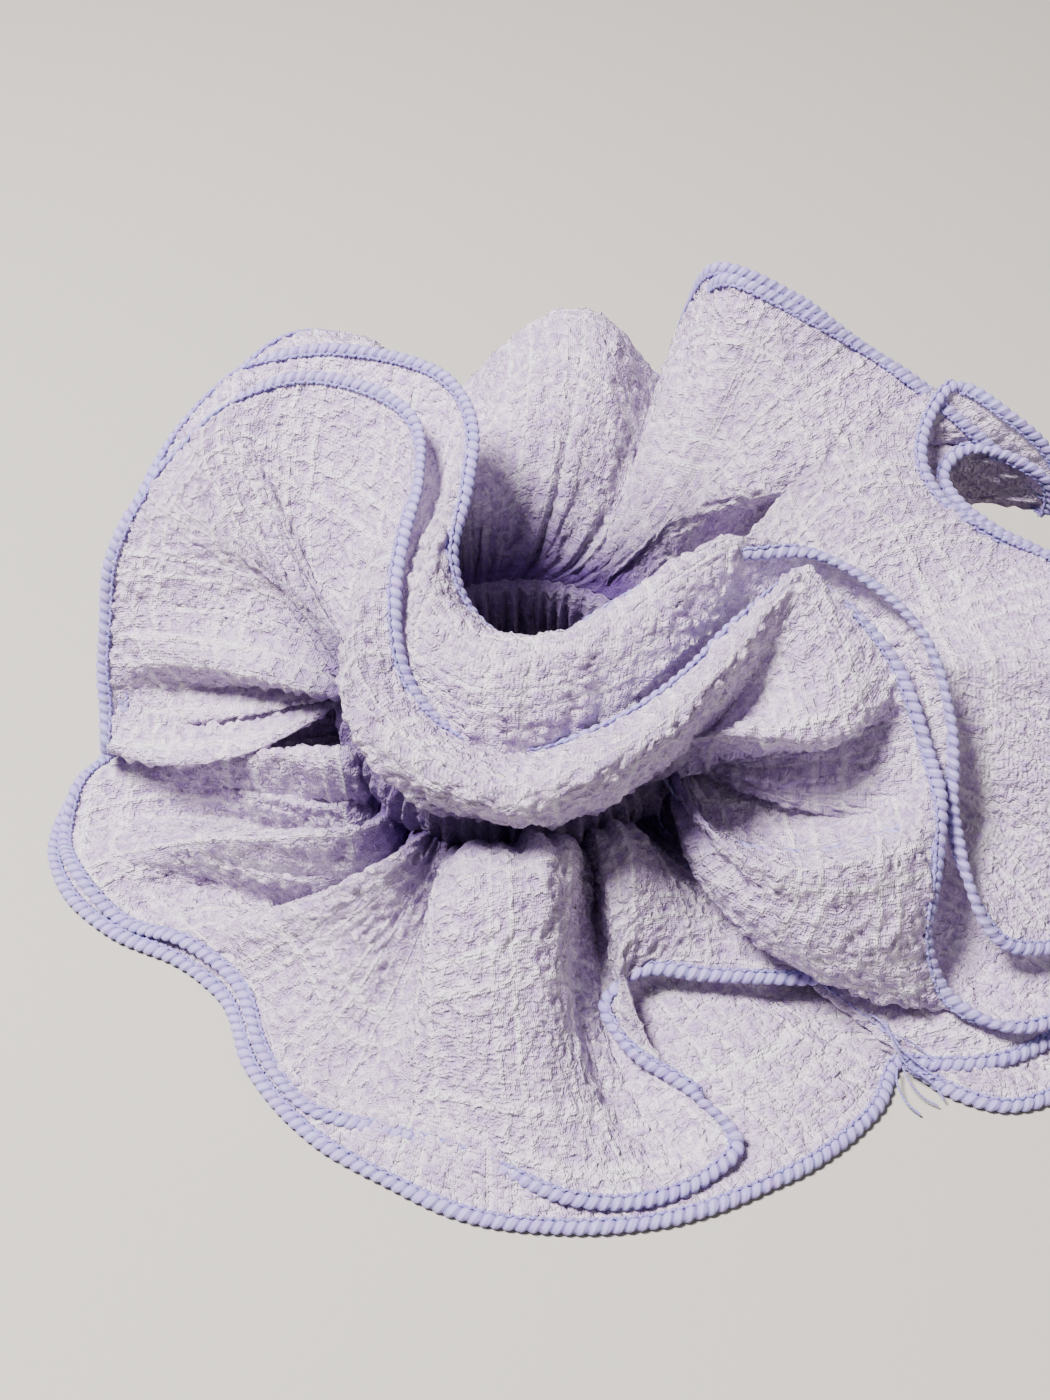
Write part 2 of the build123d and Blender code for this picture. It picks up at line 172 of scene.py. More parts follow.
# the outer strip below the channel: folds at the left, a tongue in front, a turned-back edge at the right
LOWER_OUTER_RIBS = [
    (170, (-45, 8, 14), (-62, 14, 7), (-75, 22, 2)),
    (182, (-42, 1, 13), (-60, 4, 8), (-79, 9, 3)),
    (200, (-34, -17, 28), (-55, -6, 16), (-84, -2, 5)),
    (212, (-34, -16, 5), (-56, -8, 2), (-85, -12, 2)),
    (220, (-33, -31, 26), (-58, -22, 14), (-81, -22, 5)),
    (229, (-31, -31, 4), (-52, -26, 2), (-71, -32, 2)),
    (234, (-25, -40, 27), (-44, -40, 13), (-59, -38, 4)),
    (238, (-22, -42, 24), (-38, -46, 11), (-49, -46, 3)),
    (242, (-19, -42, 20), (-32, -56, 7), (-43, -60, 2)),
    (246, (-16, -42, 16), (-26, -61, 5), (-34, -71, 2)),
    (249, (-14, -42, 17), (-19, -62, 8), (-22, -75, 2)),
    (253, (-13, -46, 27), (-13, -61, 17), (-11, -79, 3)),
    (258, (-6, -45, 32), (-5, -62, 21), (-2, -83, 3)),
    (264, (2, -44, 33), (3, -60, 21), (8, -88, 3)),
    (270, (8, -41, 30), (8, -56, 16), (20, -88, 2)),
    (276, (12, -36, 18), (11, -54, 6), (30, -84, 2)),
    (281, (13, -34, 10), (16, -52, 6), (36, -78, 3)),
    (286, (14, -35, 20), (18, -52, 11), (30, -71, 5)),
    (292, (15, -36, 24), (17, -50, 15), (17, -60, 6)),
    (296, (18, -34, 26), (19, -46, 18), (14, -54, 8)),
    (300, (21, -32, 24), (25, -43, 17), (20, -50, 11)),
    (304, (25, -30, 19), (33, -41, 14), (32, -50, 10)),
    (308, (30, -30, 12), (42, -41, 11), (47, -50, 9)),
    (312, (34, -29, 11), (50, -40, 9), (61, -49, 8)),
    (316, (36, -30, 10), (54, -42, 8), (69, -52, 6)),
    (320, (36, -32, 10), (54, -45, 6), (71, -57, 3)),
    (324, (35, -33, 9), (51, -49, 5), (65, -61, 2)),
    (329, (38, -30, 11), (58, -46, 8), (76, -63, 3)),
    (335, (42, -26, 14), (66, -40, 10), (91, -57, 3)),
    (342, (44, -20, 12), (70, -30, 7), (100, -44, 2)),
    (350, (44, -12, 15), (70, -18, 10), (98, -27, 2)),
    (359, (44, -4, 11), (68, -6, 6), (91, -10, 2)),
    (369, (43, 6, 15), (64, 6, 10), (84, 8, 2)),
    (380, (40, 14, 11), (58, 18, 6), (77, 24, 2)),
    (391, (36, 22, 15), (52, 28, 10), (67, 36, 2)),
    (402, (31, 28, 11), (42, 38, 6), (54, 46, 2)),
    (413, (25, 34, 15), (33, 44, 10), (41, 54, 2)),
    (425, (17, 38, 11), (22, 48, 6), (26, 59, 2)),
    (437, (9, 40, 15), (10, 51, 10), (10, 63, 2)),
    (449, (0, 40, 11), (-3, 50, 6), (-8, 61, 2)),
    (461, (-9, 38, 15), (-16, 48, 10), (-24, 58, 2)),
    (473, (-17, 35, 11), (-27, 43, 6), (-40, 51, 2)),
    (485, (-25, 31, 15), (-38, 37, 10), (-53, 43, 2)),
    (497, (-33, 25, 11), (-48, 29, 6), (-66, 33, 2)),
    (512, (-40, 17, 15), (-57, 20, 9), (-72, 26, 2)),
]
# the inner strip below the channel, which lies on the table
LOWER_INNER_RIBS = [
    (170, (-45, 8, 9), (-62, 15, 3), (-77, 24, 1)),
    (182, (-42, 1, 8), (-60, 4, 4), (-81, 10, 1)),
    (200, (-36, -17, 16), (-56, -6, 9), (-86, -3, 1)),
    (212, (-34, -16, 2), (-56, -8, 1), (-87, -14, 1)),
    (220, (-37, -31, 14), (-60, -21, 8), (-82, -25, 1)),
    (229, (-31, -31, 2), (-52, -26, 1), (-72, -34, 1)),
    (234, (-29, -47, 11), (-45, -39, 6), (-60, -40, 1)),
    (240, (-22, -46, 6), (-35, -51, 3), (-51, -48, 1)),
    (245, (-18, -45, 5), (-29, -60, 2), (-45, -62, 1)),
    (250, (-15, -45, 9), (-21, -62, 4), (-34, -75, 1)),
    (254, (-12, -46, 20), (-14, -62, 11), (-20, -84, 1)),
    (259, (-5, -44, 24), (-6, -63, 14), (-7, -90, 1)),
    (265, (3, -43, 24), (4, -63, 13), (8, -92, 1)),
    (272, (9, -40, 18), (11, -58, 8), (22, -91, 1)),
    (279, (13, -37, 8), (19, -56, 3), (39, -85, 1)),
    (288, (16, -35, 8), (31, -55, 5), (51, -78, 1)),
    (296, (22, -33, 8), (39, -50, 5), (60, -69, 1)),
    (304, (27, -31, 7), (44, -47, 3), (64, -61, 1)),
    (311, (31, -30, 7), (50, -46, 4), (70, -66, 1)),
    (318, (35, -28, 9), (57, -45, 6), (80, -70, 1)),
    (325, (38, -26, 10), (63, -42, 6), (93, -65, 1)),
    (333, (41, -21, 9), (68, -34, 4), (103, -48, 1)),
    (343, (43, -13, 11), (69, -20, 6), (101, -29, 1)),
    (354, (44, -5, 8), (67, -7, 3), (93, -10, 1)),
    (366, (42, 5, 11), (63, 6, 6), (86, 9, 1)),
    (378, (39, 14, 8), (57, 18, 3), (79, 26, 1)),
    (390, (36, 22, 11), (52, 28, 6), (69, 38, 1)),
    (402, (31, 28, 8), (42, 38, 3), (56, 49, 1)),
    (413, (25, 34, 11), (33, 44, 6), (43, 57, 1)),
    (425, (17, 38, 8), (22, 48, 3), (27, 62, 1)),
    (437, (9, 40, 11), (10, 51, 6), (10, 66, 1)),
    (449, (0, 40, 8), (-3, 50, 3), (-8, 64, 1)),
    (461, (-9, 38, 11), (-16, 48, 6), (-25, 61, 1)),
    (473, (-17, 35, 8), (-27, 43, 3), (-42, 54, 1)),
    (485, (-25, 31, 11), (-38, 37, 6), (-55, 45, 1)),
    (497, (-33, 25, 8), (-48, 29, 3), (-68, 35, 1)),
    (512, (-40, 17, 11), (-57, 20, 6), (-74, 28, 1)),
]

# ---- the object's own sizes, in millimetres ----------------------------------------------------------
RING_OUTSIDE = 29.0  # radius where the outer strip leaves its rows of stitching
RING_INSIDE = 27.0
UPPER_ROW, LOWER_ROW = 30.0, 18.0  # heights of the two rows
INNER_OFFSET = 1.0  # the inner strip leaves each row this much further up or down
PUFF = 3.2  # how far the gathered cloth stands off the elastic
WALL_CLOTH = 18.0  # width of each strip between the two rows
WALL_REPEATS = 34  # repeats of the check round the channel
PUCKER = 2.9  # length of one bubble of the crinkle
PUCKER_HEIGHT = 0.6
CHECK_REPEAT = 17.5  # a pair of heavier threads every so often, both ways of the cloth
CHECK_GAP = 4.6  # between the two of a pair
WEAVE = 0.5  # thread spacing of the plain weave, as drawn
HEM_WIDTH, HEM_THICKNESS = 2.1, 1.6
HEM_STEP = 0.3  # length of one step of the wrapped thread's mesh
CHAIN_WIDTH, CHAIN_THICKNESS = 0.62, 0.55
WRAP = 1.9  # along the hem, from one wrap of thread to the next
STITCH = 2.6
SEWING_THREAD = 0.5  # width of the rows' thread
SEAM_WIDTH, SEAM_THICKNESS = 2.4, 0.7
SEAM_OFFSET = 0.7  # how far the join seams stand off their cloth
ELASTIC_RADIUS, ELASTIC_HEIGHT = 28.0, 24  # the band's middle
ELASTIC_HALF_WIDTH, ELASTIC_HALF_THICKNESS = 4, 0.5
LAP_STEP = 1.06  # the lapped end lies this much further out
LAP_STITCH_RADIUS = 29.86
TABLE_GAP = 0.05  # nothing reaches lower than this above the table

# how many tucks go round the ring, and the share of each kind
GATHERS = [(41, 0.5), (53, 0.9), (62, 1.0), (71, 0.9), (83, 0.6)]
CREASES = [(9, 0.6), (14, 0.9), (19, 1.0), (26, 0.8), (34, 0.5)]  # softer ones that run further out

FRILL_ROWS = 84  # rows of points from the channel to the hem
FRILL_STEP = 0.74  # between two columns of points, along the hem
CRINKLE_WAVES = 70

BAND = 0.314  # a wave texture of scale 1 repeats every 0.314 metres


# ---- colours and materials ---------------------------------------------------------------------------
def colour(code):
    """A colour's sRGB hex code as linear light."""
    parts = [int(code[i : i + 2], 16) / 255 for i in (1, 3, 5)]
    return (*[c / 12.92 if c <= 0.04045 else ((c + 0.055) / 1.055) ** 2.4 for c in parts], 1)


def add(tree, kind, settings=None, links=None):
    """One node with its settings and the outputs that feed it."""
    node = tree.nodes.new(kind)
    for name, value in (settings or {}).items():
        if isinstance(name, str) and hasattr(node, name) and name not in node.inputs:
            setattr(node, name, value)
        else:
            node.inputs[name].default_value = value
    for name, source in (links or {}).items():
        tree.links.new(source, node.inputs[name])
    return node


def blank(name):
    """A new material and its empty node tree."""
    material = bpy.data.materials.new(name)
    material.use_nodes = True
    material.node_tree.nodes.clear()
    return material, material.node_tree


def crinkle_voile():
    """Crinkled cotton and polyester voile, dyed pale lilac: thin, matt and slightly see-through. Shrunken
    threads pucker it into bubbles 1 to 3 mm across, and pairs of heavier white threads make an open check."""
    material, t = blank("crinkled_check_voile")
    flat = add(t, "ShaderNodeUVMap", {"uv_map": "flat_cloth"})
    # where each point of the cloth lies at rest, so that the fine puckers keep their size in the gathers
    rest = add(t, "ShaderNodeAttribute", {"attribute_name": "rest_place"})
    pucker = add(t, "ShaderNodeTexNoise",
                 {"Scale": 1 / (1.6 * MM), "Detail": 2.5, "Roughness": 0.6, "Distortion": 0.5},
                 {"Vector": rest.outputs["Vector"]})
    bubble = add(t, "ShaderNodeMapRange", {"From Min": 0.32, "From Max": 0.68}, {"Value": pucker.outputs[0]})
    # the heavier threads wander a little
    stray = add(t, "ShaderNodeTexNoise", {"noise_dimensions": "2D", "Scale": 1 / (5.0 * MM), "Detail": 2.0},
                {"Vector": flat.outputs[0]})
    shove = add(t, "ShaderNodeVectorMath", {"operation": "SCALE", "Scale": 0.9 * MM},
                {0: stray.outputs["Color"]})
    bent = add(t, "ShaderNodeVectorMath", {"operation": "ADD"}, {0: flat.outputs[0], 1: shove.outputs[0]})
    way = add(t, "ShaderNodeSeparateXYZ", links={0: bent.outputs[0]})
    heavy = []
    for axis in (0, 1):
        # distance to the nearer thread of the nearest pair, in metres
        middle = add(t, "ShaderNodeMath", {"operation": "PINGPONG", 1: CHECK_REPEAT / 2 * MM},
                     {0: way.outputs[axis]})
        off = add(t, "ShaderNodeMath", {"operation": "SUBTRACT", 1: CHECK_GAP / 2 * MM},
                  {0: middle.outputs[0]})
        away = add(t, "ShaderNodeMath", {"operation": "ABSOLUTE"}, {0: off.outputs[0]})
        heavy.append(add(t, "ShaderNodeMapRange",
                         {"interpolation_type": "SMOOTHSTEP", "From Min": 0.2 * MM, "From Max": 0.95 * MM,
                          "To Min": 1.0, "To Max": 0.0}, {"Value": away.outputs[0]}))
    check = add(t, "ShaderNodeMath", {"operation": "MAXIMUM"},
                {0: heavy[0].outputs[0], 1: heavy[1].outputs[0]})
    patchy = add(t, "ShaderNodeTexNoise", {"noise_dimensions": "2D", "Scale": 1 / (9.0 * MM), "Detail": 2.0},
                 {"Vector": flat.outputs[0]})
    fade = add(t, "ShaderNodeMapRange", {"From Min": 0.3, "From Max": 0.7, "To Min": 0.25, "To Max": 0.75},
               {"Value": patchy.outputs[0]})
    seen = add(t, "ShaderNodeMath", {"operation": "MULTIPLY"}, {0: check.outputs[0], 1: fade.outputs[0]})
    # painted light and shade: the raised bubbles of the crinkle are painted paler and its hollows a deeper
    # lilac, from the same noise that drives the bump
    crinkle_shading = add(t, "ShaderNodeMix", {"data_type": "RGBA", 6: colour("#BCA0D6"), 7: colour("#F0E4F7")},
               {0: bubble.outputs[0]})
    checked = add(t, "ShaderNodeMix", {"data_type": "RGBA", 7: colour("#F8F5FC")},
                  {0: seen.outputs[0], 6: crinkle_shading.outputs[2]})
    # painted shade: cloth near the channel, and all of the channel wall, is painted a deep purple that stands
    # in for the shade deep among the gathers and inside the ring
    depth = add(t, "ShaderNodeAttribute", {"attribute_name": "channel_shade"})
    with_channel_shade = add(t, "ShaderNodeMix", {"data_type": "RGBA", 7: colour("#61428A")},
               {0: depth.outputs["Fac"], 6: checked.outputs[2]})
    # the plain weave is drawn at 0.5 mm, because its real 0.2 mm is too fine to show
    warp = add(t, "ShaderNodeTexWave",
               {"wave_type": "BANDS", "bands_direction": "X", "Scale": BAND / (WEAVE * MM)},
               {"Vector": flat.outputs[0]})
    weft = add(t, "ShaderNodeTexWave",
               {"wave_type": "BANDS", "bands_direction": "Y", "Scale": BAND / (WEAVE * MM)},
               {"Vector": flat.outputs[0]})
    weave = add(t, "ShaderNodeMath", {"operation": "MULTIPLY"},
                {0: warp.outputs["Fac"], 1: weft.outputs["Fac"]})
    ground = add(t, "ShaderNodeMath", {"operation": "MULTIPLY_ADD", 1: 0.16},
                 {0: weave.outputs[0], 2: bubble.outputs[0]})
    high = add(t, "ShaderNodeMath", {"operation": "MULTIPLY_ADD", 1: 0.35},
               {0: check.outputs[0], 2: ground.outputs[0]})
    relief = add(t, "ShaderNodeBump", {"Strength": 1.0, "Distance": 0.9 * MM}, {"Height": high.outputs[0]})
    face = add(t, "ShaderNodeBsdfPrincipled",
               {"Roughness": 0.82, "IOR": 1.46, "Specular IOR Level": 0.2, "Sheen Weight": 0.15,
                "Sheen Roughness": 0.45, "Sheen Tint": colour("#F2ECFF")},
               {"Base Color": with_channel_shade.outputs[2], "Normal": relief.outputs[0]})
    glow = add(t, "ShaderNodeBsdfTranslucent", links={"Color": with_channel_shade.outputs[2], "Normal": relief.outputs[0]})
    lit = add(t, "ShaderNodeMixShader", {0: 0.22}, {1: face.outputs[0], 2: glow.outputs[0]})
    # between the threads it is open: less than a tenth shows what lies behind
    open_weave = add(t, "ShaderNodeMapRange",
                     {"From Min": 0.0, "From Max": 1.0, "To Min": 0.08, "To Max": 0.02},
                     {"Value": check.outputs[0]})
    clear = add(t, "ShaderNodeBsdfTransparent", {"Color": colour("#F3EFFB")})
    sheer = add(t, "ShaderNodeMixShader",
                links={0: open_weave.outputs[0], 1: lit.outputs[0], 2: clear.outputs[0]})
    add(t, "ShaderNodeOutputMaterial", links={"Surface": sheer.outputs[0]})
    return material


def spun_thread(name, pale, shade_colour, twist):
    """Spun polyester sewing thread: matt, with a faint sheen, and fine plies that catch the light in lines.
    The hollows between its wraps are painted darker: painted shade where the wraps dip."""
    material, t = blank(name)
    along = add(t, "ShaderNodeUVMap", {"uv_map": "flat_cloth"})
    plies = add(t, "ShaderNodeTexWave",
                {"wave_type": "BANDS", "bands_direction": "DIAGONAL", "Scale": BAND / (twist * MM),
                 "Distortion": 1.5, "Detail": 2.0}, {"Vector": along.outputs[0]})
    lint = add(t, "ShaderNodeTexNoise", {"Scale": 1 / (2.4 * MM), "Detail": 4.0},
               {"Vector": along.outputs[0]})
    # painted shade in the hollows between the wraps
    dip = add(t, "ShaderNodeAttribute", {"attribute_name": "wrap_shade"})
    tone = add(t, "ShaderNodeMix", {"data_type": "RGBA", 6: colour(pale), 7: colour(shade_colour)},
               {0: dip.outputs["Fac"]})
    worn = add(t, "ShaderNodeMix", {"data_type": "RGBA", "blend_type": "SOFT_LIGHT", 0: 0.35},
               {6: tone.outputs[2], 7: lint.outputs["Color"]})
    relief = add(t, "ShaderNodeBump", {"Strength": 0.5, "Distance": 0.12 * MM},
                 {"Height": plies.outputs["Fac"]})
    relief = add(t, "ShaderNodeBump", {"Strength": 0.3, "Distance": 0.15 * MM},
                 {"Height": lint.outputs[0], "Normal": relief.outputs[0]})
    face = add(t, "ShaderNodeBsdfPrincipled",
               {"Roughness": 0.68, "IOR": 1.5, "Specular IOR Level": 0.3, "Sheen Weight": 0.3,
                "Sheen Roughness": 0.4, "Sheen Tint": colour("#DCD8FF")},
               {"Base Color": worn.outputs[2], "Normal": relief.outputs[0]})
    add(t, "ShaderNodeOutputMaterial", links={"Surface": face.outputs[0]})
    return material


def braided_elastic():
    """Braided elastic: white polyester over rubber cores, in flat lengthwise ribs with a fine cross
    texture."""
    material, t = blank("braided_elastic")
    flat = add(t, "ShaderNodeUVMap", {"uv_map": "flat_cloth"})
    ribs = add(t, "ShaderNodeTexWave",
               {"wave_type": "BANDS", "bands_direction": "Y", "Scale": BAND / (1.0 * MM)},
               {"Vector": flat.outputs[0]})
    yarn = add(t, "ShaderNodeTexWave",
               {"wave_type": "BANDS", "bands_direction": "DIAGONAL", "Scale": BAND / (0.7 * MM),
                "Distortion": 1.0}, {"Vector": flat.outputs[0]})
    tone = add(t, "ShaderNodeMix", {"data_type": "RGBA", 6: colour("#D9D6DE"), 7: colour("#F4F2F6")},
               {0: yarn.outputs["Fac"]})
    relief = add(t, "ShaderNodeBump", {"Strength": 0.6, "Distance": 0.3 * MM},
                 {"Height": ribs.outputs["Fac"]})
    relief = add(t, "ShaderNodeBump", {"Strength": 0.4, "Distance": 0.12 * MM},
                 {"Height": yarn.outputs["Fac"], "Normal": relief.outputs[0]})
    face = add(t, "ShaderNodeBsdfPrincipled", {"Roughness": 0.75, "IOR": 1.5, "Sheen Weight": 0.2},
               {"Base Color": tone.outputs[2], "Normal": relief.outputs[0]})
    add(t, "ShaderNodeOutputMaterial", links={"Surface": face.outputs[0]})
    return material


def matt_paint():
    """Matt pale grey paint: almost no gloss, and a faint stipple left by the roller."""
    material, t = blank("matt_wall_paint")
    place = add(t, "ShaderNodeTexCoord")
    stipple = add(t, "ShaderNodeTexNoise", {"Scale": 1 / (3.0 * MM), "Detail": 3.0},
                  {"Vector": place.outputs["Object"]})
    relief = add(t, "ShaderNodeBump", {"Strength": 0.25, "Distance": 0.4 * MM},
                 {"Height": stipple.outputs[0]})
    face = add(t, "ShaderNodeBsdfPrincipled",
               {"Base Color": colour("#A9A7A0"), "Roughness": 0.9, "Specular IOR Level": 0.2},
               {"Normal": relief.outputs[0]})
    add(t, "ShaderNodeOutputMaterial", links={"Surface": face.outputs[0]})
    return material


voile = crinkle_voile()
# each thread: its own colour, then the colour of the painted shade between its wraps
hem_thread = spun_thread("lavender_overlock_thread", "#9A90C6", "#50457F", 0.45)
chain_thread = spun_thread("violet_chain_stitch_thread", "#8880BC", "#5A508E", 0.4)
row_thread = spun_thread("lavender_sewing_thread", "#C3BEE6", "#8F88C2", 0.35)
elastic_white = braided_elastic()


# ---- shapes ------------------------------------------------------------------------------------------
def flat_way(a):
    """Every vector of a list at unit length."""
    return a / np.maximum(np.linalg.norm(a, axis=-1, keepdims=True), 1e-12)


def turned(a):
    """The direction along a closed line or sheet, from each point's two neighbours."""
    return flat_way(np.roll(a, -1, 0) - np.roll(a, 1, 0))


def eased(line, reach):
    """A closed line of points smoothed over this many points."""
    waves = np.fft.rfft(line, axis=0)
    keep = np.exp(-2 * (pi * np.fft.rfftfreq(len(line)) * reach) ** 2)
    return np.fft.irfft(waves * keep.reshape(-1, *[1] * (line.ndim - 1)), len(line), axis=0)


def tucks(angle, kinds, seed):
    """Uneven tucks round the ring, about one unit high."""
    rng = np.random.default_rng(seed)
    high = sum(share * np.cos(n * angle + rng.uniform(0, 2 * pi)) for n, share in kinds)
    return high / np.sqrt(sum(share**2 for _, share in kinds) / 2) / 1.6


def puckers(place, size, seed):
    """The crinkle at these points: round bubbles between sharp creases, about one unit high. The bubbles keep
    their size where the cloth is gathered, as real ones do."""
    rng = np.random.default_rng(seed)
    high = np.zeros(place.shape[:-1])
    for _ in range(CRINKLE_WAVES):
        way = rng.standard_normal(3)
        way *= rng.normal(1, 0.22) * 2 * pi / size / np.linalg.norm(way)
        high += np.cos(place @ way + rng.uniform(0, 2 * pi))
    return np.minimum(np.abs(high) / high.std(), 2.0) - 0.8


def by_check(along, across, length, width):
    """One on a pair of heavier threads, where the cloth lies flatter, and nought between them."""
    found = []
    for count, size in ((along, length), (across, width)):
        x = np.arange(count) * size / count
        middle = np.abs((x + CHECK_REPEAT / 2) % CHECK_REPEAT - CHECK_REPEAT / 2)
        found.append(np.clip(1.4 - np.abs(middle - CHECK_GAP / 2) / 0.7, 0, 1))
    return np.maximum(found[0][:, None], found[1][None])


def finish_mesh(name, points, flat, shut, material, flip=False, marks=None, capped=False):
    """A mesh from rows of points, in millimetres. flat is how far each point lies along and across the cut
    cloth. shut says whether the rows, and each row, close on themselves, and marks are values for the
    material to read."""
    rows, each = points.shape[:2]
    i = np.arange(rows if shut[0] else rows - 1)[:, None]
    j = np.arange(each if shut[1] else each - 1)[None]
    corners = [(i, j), (i + 1, j), (i + 1, j + 1), (i, j + 1)]
    if flip:
        corners.reverse()
    size = (i.size, j.size)
    quads = np.stack([np.broadcast_to(a % rows * each + b % each, size) for a, b in corners], -1)
    u, v = flat
    laid = np.stack([np.stack([np.broadcast_to(u[a], size), np.broadcast_to(v[b], size)], -1)
                     for a, b in corners], 2)
    quads, laid = quads.reshape(-1, 4), laid.reshape(-1, 2)
    place = points.reshape(-1, 3).copy()
    place[:, 2] = np.maximum(place[:, 2], TABLE_GAP)
    mesh = bpy.data.meshes.new(name)
    caps = [list(range(each))[::-1], [(rows - 1) * each + n for n in range(each)]] if capped else []
    mesh.from_pydata((place * MM).tolist(), [], quads.tolist() + caps)
    layer = mesh.uv_layers.new(name="flat_cloth")
    laid = np.concatenate([laid, np.zeros((len(layer.data) - len(laid), 2))])
    layer.data.foreach_set("uv", (laid * MM).astype(np.float32).ravel())
    for mark, values in (marks or {}).items():
        attribute = mesh.attributes.new(mark, "FLOAT", "POINT")
        attribute.data.foreach_set("value", np.broadcast_to(values, (rows, each)).astype(np.float32).ravel())
    rest = mesh.attributes.new("rest_place", "FLOAT_VECTOR", "POINT")
    rest.data.foreach_set("vector", (place * MM).astype(np.float32).ravel())
    mesh.materials.append(material)
    mesh.polygons.foreach_set("use_smooth", np.ones(len(mesh.polygons), bool))
    mesh.update()
    piece = bpy.data.objects.new(name, mesh)
    bpy.context.scene.collection.objects.link(piece)
    return piece


def joined(name, *parts):
    """Several parts made one piece."""
    bpy.ops.object.select_all(action="DESELECT")
    for part in parts:
        part.select_set(True)
    bpy.context.view_layer.objects.active = parts[0]
    bpy.ops.object.join()
    parts[0].name = parts[0].data.name = name
    return parts[0]


def flare(ribs, radius, height):
    """A smooth sheet through the ribs of a frill: its points, the angle of each column where it leaves the
    channel, how far along the hem the column is, and the hem's length."""
    lines = np.array([[(radius * cos(radians(a)), radius * sin(radians(a)), height), *points]
                      for a, *points in ribs])
    angles = np.radians([rib[0] for rib in ribs])
    count = len(ribs)
    gap = np.maximum(np.linalg.norm(np.roll(lines[:, 3], -1, 0) - lines[:, 3], axis=1), 4)
    edge = np.concatenate([[0], np.cumsum(gap)])
    length = edge[-1]
    columns = int(length / FRILL_STEP)
    along = np.arange(columns) * length / columns
    k = np.clip(np.searchsorted(edge, along, side="right") - 1, 0, count - 1)
    f = ((along - edge[k]) / gap[k])[:, None, None]
    turns = 2 * pi * ((k + 1) // count)
    angle = angles[k] + f[:, 0, 0] * (angles[(k + 1) % count] + turns - angles[k])
    p0, p1, p2, p3 = (lines[(k + n) % count] for n in (-1, 0, 1, 2))
    d0, d1, d2 = (gap[(k + n) % count][:, None, None] for n in (-1, 0, 1))
    m1 = ((p1 - p0) / d0 * d1 + (p2 - p1) / d1 * d0) / (d0 + d1) * d1
    m2 = ((p2 - p1) / d1 * d2 + (p3 - p2) / d2 * d1) / (d1 + d2) * d1
    ribbing = ((2 * f**3 - 3 * f**2 + 1) * p1 + (f**3 - 2 * f**2 + f) * m1
               + (3 * f**2 - 2 * f**3) * p2 + (f**3 - f**2) * m2)
    v = np.linspace(0, 1, FRILL_ROWS)
    knots = (0, 1 / 3, 2 / 3, 1)
    shares = [np.prod([(v - b) / (a - b) for b in knots if b != a], axis=0) for a in knots]
    sheet = np.einsum("iv,uic->uvc", np.array(shares), ribbing)
    sheet[:, 0] = np.stack([radius * np.cos(angle), radius * np.sin(angle), np.full(columns, height)], -1)
    return sheet, angle, along, length


def square_to(sheet):
    """The direction square to a sheet at every point."""
    return flat_way(np.cross(turned(sheet), flat_way(np.gradient(sheet, axis=1))))


def frill(name, ribs, radius, height, outside_up, seed):
    """One layer of a frill, and what its hem and seam need: its sheet of points, the way the sheet faces and
    the angle of each column."""
    sheet, angle, along, length = flare(ribs, radius, height)
    columns = len(sheet)
    v = np.linspace(0, 1, FRILL_ROWS)
    width = float(np.linalg.norm(np.diff(sheet, axis=1), axis=2).sum(1).mean())
    face = square_to(sheet)
    crowd = np.linalg.norm(np.roll(sheet, -1, 0) - sheet, axis=2) / (length / columns)
    crowd = np.clip(eased(crowd, 6), 0.12, 1)
    # sharp tucks near the channel, and softer creases that die out at the hem
    near = np.clip(v / 0.10, 0, 1) * np.clip(1 - v / 0.62, 0, 1) ** 1.3
    far = np.clip(v / 0.2, 0, 1) * np.clip(1 - v, 0, 1) ** 0.8
    lift = (0.25 * (v < 0.04) + 1.25 * near)[None] * tucks(angle, GATHERS, seed)[:, None]
    lift += 0.8 * far[None] * tucks(angle, CREASES, seed + 1)[:, None]
    # the crinkle is held flatter by the hem, by the stitching and by the heavier threads
    held = np.clip((1 - v) * width / 2.5, 0.15, 1)[None] * np.clip(v / 0.05, 0.2, 1)[None]
    flatter = 1 - 0.65 * by_check(columns, FRILL_ROWS, length, width)
    sheet = sheet + face * lift[:, :, None]
    bubbled = puckers(sheet, PUCKER, seed + 2) + 0.5 * puckers(sheet, PUCKER * 2.3, seed + 3)
    crinkle = PUCKER_HEIGHT * bubbled * held * flatter * (0.55 + 0.45 * crowd)
    sheet = sheet + face * crinkle[:, :, None]
    # painted shade near the channel, full at the stitching and gone a little before half-way out
    channel_shade = np.clip(1.15 - v * 2.6, 0, 1)[None] ** 1.5
    whole = round(length / CHECK_REPEAT) * CHECK_REPEAT
    u = np.append(along, length) * whole / length
    piece = finish_mesh(name, sheet, (u, v * width), (True, False), voile, flip=outside_up,
                        marks={"channel_shade": channel_shade})
    return dict(piece=piece, sheet=sheet, face=face, angle=angle)


def even(line, step):
    """Where to stand along a closed line of points for even steps, as places in the list."""
    gaps = np.linalg.norm(np.roll(line, -1, 0) - line, axis=1)
    reach = np.concatenate([[0], np.cumsum(gaps)])
    count = int(reach[-1] / step)
    return np.interp(np.arange(count) * reach[-1] / count, reach, np.arange(len(line) + 1))


def at(line, spots):
    """A closed list of points or directions read between its entries."""
    low = np.floor(spots).astype(int)
    share = (spots - low)[:, None]
    return line[low % len(line)] * (1 - share) + line[(low + 1) % len(line)] * share


